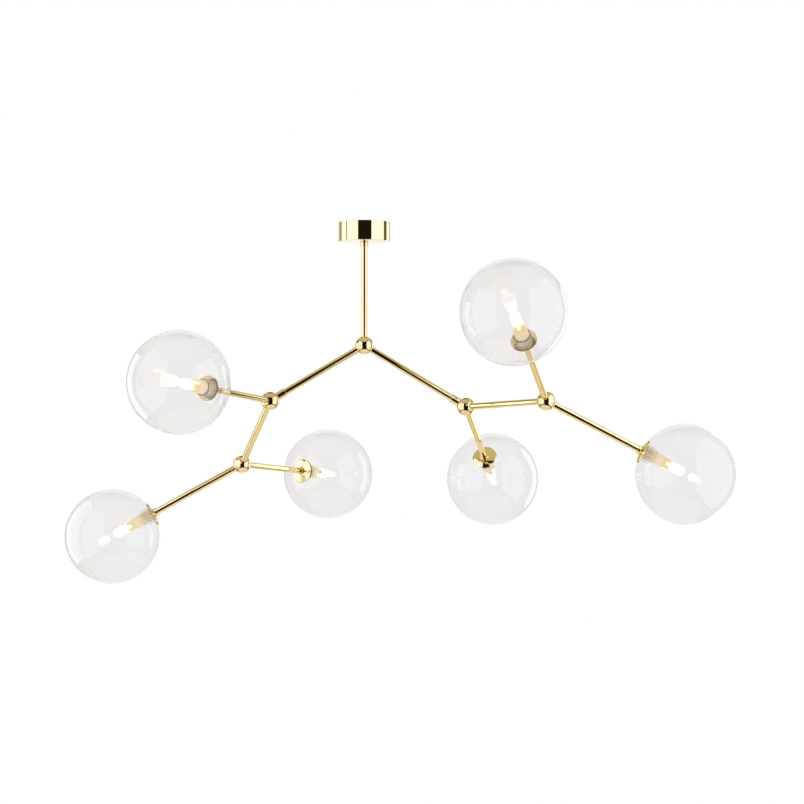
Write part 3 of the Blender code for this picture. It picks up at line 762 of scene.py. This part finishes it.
# Globes: clear glass blown in a round mould, 150 mm across with a 2 mm wall. The neck turns
# back inside and is moulded with a thread for the sleeve, and the wall waves a little.
GLOBE_RADIUS = 0.075
GLOBE_WALL = 0.002
NECK_BORE = 0.0108
NECK_RADIUS = 0.0128
NECK_END = -0.0575
NECK_ROWS = 60
NECK_THREAD_DEPTH = 0.0002
NECK_LIP = 0.0007
GLOBE_SEGMENTS = 192
GLOBE_STEPS = 128
GLASS_CLEAR = (0.935, 0.928, 0.925)
GLASS_PAINTED_RIM_SHADE = (0.86, 0.855, 0.85)
GLASS_WAVE = 0.00008
NECK_REACH = 0.0145
NECK_TINT = (1.0, 0.94, 0.82, 1.0)
NECK_PAINTED_LIGHT = (1.0, 0.80, 0.52, 1.0)

clear_glass = shader_of("clear_glass", Roughness=0.0, IOR=1.45, Transmission_Weight=1.0)
nodes, links = clear_glass.node_tree.nodes, clear_glass.node_tree.links
# The ramp named depth holds painted shade: the glass's colour darkens towards its rims where it is seen at a
# slant, not from a thicker wall.
slant = nodes.new("ShaderNodeLayerWeight")
slant.inputs["Blend"].default_value = 0.5
depth = nodes.new("ShaderNodeValToRGB")
depth.color_ramp.elements[0].position = 0.70
depth.color_ramp.elements[0].color = (*GLASS_CLEAR, 1.0)
depth.color_ramp.elements[1].position = 1.0
depth.color_ramp.elements[1].color = (*GLASS_PAINTED_RIM_SHADE, 1.0)
links.new(slant.outputs["Facing"], depth.inputs["Fac"])
links.new(depth.outputs["Color"], nodes["Principled BSDF"].inputs["Base Color"])

# The neck glass's warm emission is painted lamplight: a glow that stands in for the bulb's light in the neck.
neck_glass = shader_of(
    "moulded_neck_glass",
    Base_Color=NECK_TINT,
    IOR=1.25,
    Transmission_Weight=0.8,
    Emission_Color=NECK_PAINTED_LIGHT,
    Emission_Strength=0.2,
)
varied(neck_glass, "Roughness", noise(neck_glass, "Object", (300, 300, 300)), 0.0, 0.05)

inner = GLOBE_RADIUS - GLOBE_WALL
outside = arc(GLOBE_RADIUS, 0.0, np.pi - np.arcsin((NECK_BORE + NECK_LIP) / GLOBE_RADIUS), GLOBE_STEPS)
inside = arc(inner, np.pi - np.arcsin((NECK_RADIUS + NECK_LIP) / inner), 0.0, GLOBE_STEPS)
mouth_height = -np.sqrt(GLOBE_RADIUS**2 - NECK_BORE**2)
shoulder_height = -np.sqrt(inner**2 - NECK_RADIUS**2)
bore_rows = np.linspace(mouth_height + NECK_LIP, NECK_END - NECK_LIP, NECK_ROWS)
bore_wall = np.stack([np.full(NECK_ROWS, NECK_BORE), bore_rows], axis=-1)
neck_lip = rounded(
    [
        (NECK_BORE, mouth_height),
        (NECK_BORE, NECK_END),
        (NECK_RADIUS, NECK_END),
        (NECK_RADIUS, shoulder_height),
    ],
    [0.0, NECK_LIP, NECK_LIP, 0.0],
    closed=False,
)[ROUNDING_STEPS:-ROUNDING_STEPS]
globe_profile = np.concatenate(
    [
        outside,
        bore_wall,
        neck_lip,
        [(NECK_RADIUS, NECK_END - 2 * NECK_LIP), (NECK_RADIUS, shoulder_height + NECK_LIP)],
        inside,
    ]
)


def blown(radius, height, turns):
    """Ridges in the neck's bore, one turn of the sleeve's pitch apart, and waves in the wall.

    The wall's radius grows by a share of sin(2a + 40 z) + sin(3a - 65 z), less near the poles.
    """
    ridge = 0.5 * NECK_THREAD_DEPTH * (1 - np.cos(2 * np.pi * height / SLEEVE_PITCH - turns))
    fade = np.clip(np.minimum(height - mouth_height, NECK_END - height) / SLEEVE_PITCH, 0.0, 1.0)
    wave = 0.5 * GLASS_WAVE * (np.sin(2 * turns + 40 * height) + np.sin(3 * turns - 65 * height))
    wall = radius + wave * np.clip(radius / GLOBE_RADIUS - 0.25, 0.0, 1.0)
    return np.where(np.abs(radius - NECK_BORE) < 1e-6, radius - ridge * fade, wall)


blown_globe = turned(globe_profile, GLOBE_SEGMENTS, blown)
neck_face = np.empty(len(blown_globe.polygons) * 3, np.float32)
blown_globe.polygons.foreach_get("center", neck_face)
neck_face = neck_face.reshape(-1, 3)
in_neck = (np.hypot(neck_face[:, 0], neck_face[:, 1]) < NECK_REACH) & (neck_face[:, 2] < 0)
blown_globe.polygons.foreach_set("material_index", in_neck.astype(np.int32))
for lamp, place in LAMP_PLACES.items():
    globe = placed(blown_globe, place)
    piece(lamp + "_clear_globe", globe, clear_glass, "globe_glass", lamp + "_globe")
    globe.materials.append(neck_glass)


# Bulbs: two-pin halogen capsules, lit. A small quartz capsule is pinched flat at its seal,
# and two nickel pins run on into the holder.
BULB_RADIUS = 0.0068
BULB_BASE = -0.0273
BULB_TIP = -0.0040
BULB_EDGE = 0.0015
PIP_RADIUS = 0.0011
SEAL_SIZE = (0.0136, 0.0046)
SEAL_BACK = -0.0393
SEAL_FRONT = -0.0245
SEAL_SQUARENESS = 5.0
SEAL_EDGE = 0.0008
PIN_RADIUS = 0.0006
PIN_SPACING = 0.0090
PIN_BACK = -0.0485
PIN_OVERLAP = 0.002
PIN_EDGE = 0.0003
BULB_GLOW = (1.0, 0.93, 0.80, 1.0)
BULB_GLOW_FOOT = 1.8
BULB_GLOW_COIL = 4.5
COIL_FOOT = 0.009
COIL_TOP = 0.018
SEAL_GLOW = (1.0, 0.72, 0.36, 1.0)
SEAL_WARM = (0.95, 0.86, 0.70)
SEAL_CLEAR = (1.0, 0.95, 0.85)
NICKEL_DARK = (0.60, 0.57, 0.52)
NICKEL_LIGHT = (0.70, 0.67, 0.62)

lit_quartz = shader_of(
    "lit_quartz", Roughness=0.25, IOR=1.46, Base_Color=(1.0, 0.97, 0.92, 1.0), Emission_Color=BULB_GLOW
)
nodes, links = lit_quartz.node_tree.nodes, lit_quartz.node_tree.links
along = nodes.new("ShaderNodeUVMap")
parts = nodes.new("ShaderNodeSeparateXYZ")
coil = nodes.new("ShaderNodeMapRange")
coil.interpolation_type = "SMOOTHSTEP"
coil.inputs["From Min"].default_value = COIL_FOOT
coil.inputs["From Max"].default_value = COIL_TOP
coil.inputs["To Min"].default_value = BULB_GLOW_FOOT
coil.inputs["To Max"].default_value = BULB_GLOW_COIL
links.new(along.outputs["UV"], parts.inputs[0])
links.new(parts.outputs["Y"], coil.inputs["Value"])
links.new(coil.outputs["Result"], nodes["Principled BSDF"].inputs["Emission Strength"])

seal_quartz = shader_of(
    "seal_quartz", IOR=1.46, Transmission_Weight=0.6, Emission_Color=SEAL_GLOW, Emission_Strength=1.2
)
tinted(seal_quartz, "Base Color", noise(seal_quartz, "Object", (400, 400, 400)), SEAL_WARM, SEAL_CLEAR)
varied(seal_quartz, "Roughness", noise(seal_quartz, "Object", (900, 900, 900)), 0.05, 0.2)

nickel = shader_of("nickel_pin", Metallic=1.0)
tinted(nickel, "Base Color", noise(nickel, "Object", (800, 800, 800)), NICKEL_DARK, NICKEL_LIGHT)
varied(nickel, "Roughness", noise(nickel, "Object", (900, 900, 900)), 0.2, 0.35)

straight_top = BULB_TIP - BULB_RADIUS
dome_top = arc(BULB_RADIUS, np.pi / 2, np.arcsin(PIP_RADIUS / BULB_RADIUS), 28) + (0.0, straight_top)
pip = arc(PIP_RADIUS, np.pi / 2, 0.0, 8) * (1.0, 0.35) + (0.0, dome_top[-1, 1])
capsule_profile = np.concatenate(
    [
        [(0.0, BULB_BASE)],
        rounded(
            [(0.0, BULB_BASE), (BULB_RADIUS, BULB_BASE), (BULB_RADIUS, straight_top)],
            [0.0, BULB_EDGE, 0.0],
            closed=False,
            steps=9,
        )[9:18],
        dome_top,
        pip,
    ]
)
capsule = turned(capsule_profile, 72)


def pinched(size, low, high, edge):
    """A flat slab on +Z whose cross-section is the superellipse |x/a|^n + |y/b|^n = 1.

    The section shrinks round the ends by a quarter circle of the edge's radius.
    """
    turns = np.linspace(0.0, 2 * np.pi, 73)
    power = 2.0 / SEAL_SQUARENESS
    x = size[0] / 2 * np.sign(np.cos(turns)) * np.abs(np.cos(turns)) ** power
    y = size[1] / 2 * np.sign(np.sin(turns)) * np.abs(np.sin(turns)) ** power
    bend = np.linspace(0.0, np.pi / 2, 8)
    near, far = edge * (1 - np.sin(bend)), edge * (1 - np.cos(bend))
    inset = np.concatenate([[size[1] / 2], near, far, [size[1] / 2]])
    height = np.concatenate([[low], low + far, high - near, [high]])
    share_x = 1 - inset / (size[0] / 2)
    share_y = 1 - inset / (size[1] / 2)
    share_x[[0, -1]] = 0.0
    share_y[[0, -1]] = 0.0
    return surface(
        np.stack([share_x[:, None] * x, share_y[:, None] * y, height[:, None] + 0 * turns], axis=-1)
    )


seal = pinched(SEAL_SIZE, SEAL_BACK, SEAL_FRONT, SEAL_EDGE)
pin = rod(PIN_RADIUS, PIN_BACK, SEAL_BACK + PIN_OVERLAP, 24, PIN_EDGE)
for lamp, place in LAMP_PLACES.items():
    body = lamp + "_bulb"
    piece(lamp + "_lit_capsule", placed(capsule, place), lit_quartz, "bulb_glass", body)
    piece(lamp + "_flat_seal", placed(seal, place), seal_quartz, "bulb_glass", body=body)
    for side, offset in (("left", -PIN_SPACING / 2), ("right", PIN_SPACING / 2)):
        at = place @ Matrix.Translation((offset, 0, 0))
        piece(lamp + "_" + side + "_pin", placed(pin, at), nickel, "steel", body=body)


# Wiring: twisted pairs of silicone-sleeved wire from the terminal block, through the stem
# and every arm, to the back of each lamp holder.
CORE_RADIUS = 0.0007
TWIST_RADIUS = 0.0007
TWIST_PITCH = 0.014
WIRE_STEP = 0.0009
WIRE_END_GAP = 0.0012
BLOCK_GAP = 0.0004
LAMP_WIRE_END = LAMP_REACH + SLEEVE_BACK + WIRE_END_GAP
WIRE_CREAM = (0.84, 0.81, 0.74)
WIRE_CREAM_DARK = (0.76, 0.73, 0.66)

silicone = shader_of("wire_silicone", IOR=1.42)
tinted(silicone, "Base Color", noise(silicone, "Object", (120, 120, 120)), WIRE_CREAM_DARK, WIRE_CREAM)
varied(silicone, "Roughness", noise(silicone, "Object", (600, 600, 600)), 0.4, 0.6)
embossed(silicone, noise(silicone, "Object", (2500, 2500, 2500)), 0.00002)


def twisted_pair(start, end):
    """Two round cores that wind round the straight line from start to end.

    A core's centre is the line's point plus r (cos w, sin w), w = 2 pi distance / pitch, and
    the two are half a turn apart.
    """
    way = end - start
    distance = np.linspace(0.0, way.length, max(4, int(way.length / WIRE_STEP)))
    turns = np.linspace(0.0, 2 * np.pi, 13)
    fade = np.ones_like(distance)
    fade[[0, -1]] = 0.0
    cores = []
    for phase in (0.0, np.pi):
        wind = 2 * np.pi * distance / TWIST_PITCH + phase
        x = TWIST_RADIUS * np.cos(wind)[:, None] + fade[:, None] * CORE_RADIUS * np.cos(turns)
        y = TWIST_RADIUS * np.sin(wind)[:, None] + fade[:, None] * CORE_RADIUS * np.sin(turns)
        core = surface(np.stack([x, y, distance[:, None] + 0 * turns], axis=-1))
        cores.append(placed(core, aimed(start, way)))
    return cores


def joined(meshes):
    """One mesh that holds them all."""
    form = bmesh.new()
    for mesh in meshes:
        form.from_mesh(mesh)
    result = bpy.data.meshes.new("joined")
    form.to_mesh(result)
    form.free()
    return result


block_end = Vector((0, BLOCK_HIGH.y + BLOCK_GAP, -WIRE_PORT_DEPTH))
boss_bend = Vector((0, 0, -WIRE_PORT_DEPTH))
main_ends = [ball + (HUB - ball).normalized() * (2 * TUBE_START) for ball in (LEFT_BALL, RIGHT_BALL)]
HARNESSES = {
    "stem": [(block_end, boss_bend), (boss_bend, HUB), (HUB, main_ends[0]), (HUB, main_ends[1])],
    "left": [(LEFT_BALL, LOWER_LEFT_BALL)],
    "right": [(RIGHT_BALL, FAR_RIGHT_BALL)],
}
for lamp, ball in LAMP_BALLS.items():
    HARNESSES["left" if "left" in lamp else "right"].append((ball, ball + LAMP_WAYS[lamp] * LAMP_WIRE_END))
for side, runs in HARNESSES.items():
    pairs = [core for start, end in runs for core in twisted_pair(start, end)]
    piece(side + "_twisted_wires", joined(pairs), silicone, "wire_silicone", side + "_wiring")


# Studio: a pale floor well below the lamp, large white cards in dark frames at both sides, a
# dark gap in front where the camera stands, and white for what is seen directly or in glass.
FLOOR_HEIGHT = -1.25
FLOOR_RADIUS = 0.85
FLOOR_CORNERS = 96
FLOOR_GLOW = (1.0, 0.90, 0.58, 1.0)
FLOOR_DARK = (0.82, 0.79, 0.70)
FLOOR_LIGHT = (0.86, 0.83, 0.74)
CARDS = {
    "left_strip": ((-0.80, -0.02), (-0.80, 0.43), (-0.80, 0.10), (1.8, 1.8, 2.0)),
    "left_panel": ((-1.00, -0.14), (-0.74, -1.42), (-1.10, 0.75), (1.30, 1.32, 1.75)),
    "right_panel": ((1.00, 0.09), (0.868, -0.81), (-1.10, 0.75), (1.30, 1.32, 1.75)),
    "right_edge_panel": ((0.868, -0.81), (0.80, -1.28), (-1.10, 0.75), (1.6, 1.6, 2.0)),
    "right_strip": ((0.98, 0.50), (0.74, 0.82), (-0.90, 0.20), (1.8, 1.8, 2.0)),
}
WALL_TONES = (
    (-164, (1.0, 1.0, 1.0)),
    (-160, (0.62, 0.58, 0.46)),
    (-134, (0.62, 0.58, 0.46)),
    (-130, (0.15, 0.13, 0.10)),
    (-90, (0.40, 0.36, 0.28)),
    (-34, (0.40, 0.36, 0.28)),
    (-30, (0.012, 0.010, 0.008)),
    (30, (0.012, 0.010, 0.008)),
    (34, (0.25, 0.22, 0.17)),
    (94, (0.15, 0.13, 0.10)),
    (118, (0.15, 0.13, 0.10)),
    (122, (0.62, 0.58, 0.46)),
    (160, (0.62, 0.58, 0.46)),
    (164, (1.0, 1.0, 1.0)),
)
CEILING_TONE = (0.60, 0.55, 0.42)
BEAM_TONE = (0.10, 0.08, 0.05)
CARD_FRAME = 0.07
FRAME_TONE = (0.06, 0.05, 0.03)
CEILING_FROM = 40.0
CEILING_TO = 46.0
SEEN_WHITE = (1.0, 1.0, 1.0)
SEEN_GREY = (0.80, 0.79, 0.77)


def math_node(tree, operation, *values):
    """The result of one sum on numbers or on other nodes' outputs."""
    node = tree.nodes.new("ShaderNodeMath")
    node.operation = operation
    for socket, value in zip(node.inputs, values):
        if isinstance(value, (int, float)):
            socket.default_value = value
        else:
            tree.links.new(value, socket)
    return node.outputs[0]


def eased(tree, value, start, end):
    """Nought at start and one at end, with a soft way between."""
    node = tree.nodes.new("ShaderNodeMapRange")
    node.interpolation_type = "SMOOTHSTEP"
    node.inputs["From Min"].default_value = start
    node.inputs["From Max"].default_value = end
    tree.links.new(value, node.inputs["Value"])
    return node.outputs["Result"]


def mixed(tree, factor, first, second):
    """The first colour where the factor is nought and the second where it is one."""
    node = tree.nodes.new("ShaderNodeMix")
    node.data_type = "RGBA"
    for socket, value in ((node.inputs[0], factor), (node.inputs[6], first), (node.inputs[7], second)):
        if isinstance(value, tuple):
            socket.default_value = (*value, 1.0)
        else:
            tree.links.new(value, socket)
    return node.outputs[2]


world = bpy.data.worlds.new("studio")
world.use_nodes = True
bpy.context.scene.world = world
studio = world.node_tree
way = studio.nodes.new("ShaderNodeTexCoord").outputs["Generated"]
split = studio.nodes.new("ShaderNodeSeparateXYZ")
studio.links.new(way, split.inputs[0])
behind = math_node(studio, "MULTIPLY", split.outputs["Y"], -1.0)
azimuth = math_node(studio, "ARCTAN2", split.outputs["X"], behind)
turn_share = math_node(studio, "MULTIPLY_ADD", azimuth, 0.5 / np.pi, 0.5)
walls = studio.nodes.new("ShaderNodeValToRGB")
studio.links.new(turn_share, walls.inputs["Fac"])
for number, (degrees, tone) in enumerate(WALL_TONES):
    elements = walls.color_ramp.elements
    stop = elements[number] if number < 2 else elements.new(1.0)
    stop.position = degrees / 360 + 0.5
    stop.color = (*tone, 1.0)
elevation = math_node(studio, "ARCSINE", split.outputs["Z"])
rise_share = eased(studio, elevation, np.radians(CEILING_FROM), np.radians(CEILING_TO))
beam_length = eased(studio, split.outputs["Y"], 0.2, 0.4)
beam_width = eased(studio, math_node(studio, "ABSOLUTE", split.outputs["X"]), 0.35, 0.2)
beam = math_node(studio, "MULTIPLY", beam_length, beam_width)
ceiling = mixed(studio, beam, CEILING_TONE, BEAM_TONE)
room = mixed(studio, rise_share, walls.outputs["Color"], ceiling)
slope = eased(studio, math_node(studio, "ABSOLUTE", elevation), np.radians(15.0), np.radians(70.0))
seen_through = mixed(studio, slope, SEEN_WHITE, SEEN_GREY)
path = studio.nodes.new("ShaderNodeLightPath")
through = mixed(studio, path.outputs["Is Transmission Ray"], room, seen_through)
shown = mixed(studio, path.outputs["Is Camera Ray"], through, SEEN_WHITE)
studio.links.new(shown, studio.nodes["Background"].inputs["Color"])


def lamp_card(name, start, end, heights, radiance):
    """An upright glowing card between two points on the plan, which only reflections show."""
    corners = [(*start, heights[0]), (*end, heights[0]), (*end, heights[1]), (*start, heights[1])]
    mesh = bpy.data.meshes.new(name)
    mesh.from_pydata(corners, [], [(0, 1, 2, 3)])
    material = bpy.data.materials.new(name + "_light")
    material.use_nodes = True
    tree = material.node_tree
    tree.nodes.remove(tree.nodes["Principled BSDF"])
    glow = tree.nodes.new("ShaderNodeEmission")
    glow.inputs["Color"].default_value = (*radiance, 1.0)
    tree.links.new(glow.outputs[0], tree.nodes["Material Output"].inputs["Surface"])
    mesh.materials.append(material)
    card = bpy.data.objects.new(name, mesh)
    bpy.context.scene.collection.objects.link(card)
    card.visible_camera = False
    card.visible_transmission = False
    card.visible_shadow = False


for name, (start, end, (low, high), radiance) in CARDS.items():
    lamp_card(name, start, end, (low, high), radiance)
    lamp_card(name + "_top_frame", start, end, (high, high + CARD_FRAME), FRAME_TONE)
    lamp_card(name + "_foot_frame", start, end, (low - CARD_FRAME, low), FRAME_TONE)

floor_mesh = bpy.data.meshes.new("floor")
turns = np.linspace(0.0, 2 * np.pi, FLOOR_CORNERS, endpoint=False)
level = np.full(FLOOR_CORNERS, FLOOR_HEIGHT)
rim_points = np.stack([FLOOR_RADIUS * np.cos(turns), FLOOR_RADIUS * np.sin(turns), level], axis=-1)
floor_mesh.from_pydata(rim_points.tolist(), [], [list(range(FLOOR_CORNERS))])
pale = shader_of("pale_floor", Roughness=0.6, Emission_Color=FLOOR_GLOW, Emission_Strength=0.26)
tinted(pale, "Base Color", noise(pale, "Object", (3, 3, 3)), FLOOR_DARK, FLOOR_LIGHT)
tree = pale.node_tree
path = tree.nodes.new("ShaderNodeLightPath")
white = tree.nodes.new("ShaderNodeEmission")
blend = tree.nodes.new("ShaderNodeMixShader")
seen = math_node(tree, "MAXIMUM", path.outputs["Is Camera Ray"], path.outputs["Is Transmission Ray"])
tree.links.new(seen, blend.inputs[0])
tree.links.new(tree.nodes["Principled BSDF"].outputs[0], blend.inputs[1])
tree.links.new(white.outputs[0], blend.inputs[2])
tree.links.new(blend.outputs[0], tree.nodes["Material Output"].inputs["Surface"])
floor_mesh.materials.append(pale)
floor = bpy.data.objects.new("floor", floor_mesh)
bpy.context.scene.collection.objects.link(floor)


# Camera: level, three metres in front and a little below the hub, as the lamp is seen.
CAMERA_PLACE = (0.0154, -3.0636, -0.3055)
CAMERA_LENS = 88.96
CAMERA_SHIFT = (0.0344, 0.0227)
eye = bpy.data.cameras.new("eye")
eye.lens = CAMERA_LENS
eye.sensor_width = 36.0
eye.shift_x, eye.shift_y = CAMERA_SHIFT
camera = bpy.data.objects.new("camera", eye)
camera.location = CAMERA_PLACE
camera.rotation_euler = (np.pi / 2, 0.0, 0.0)
bpy.context.scene.collection.objects.link(camera)
bpy.context.scene.camera = camera
bpy.context.scene.view_settings.view_transform = "Standard"
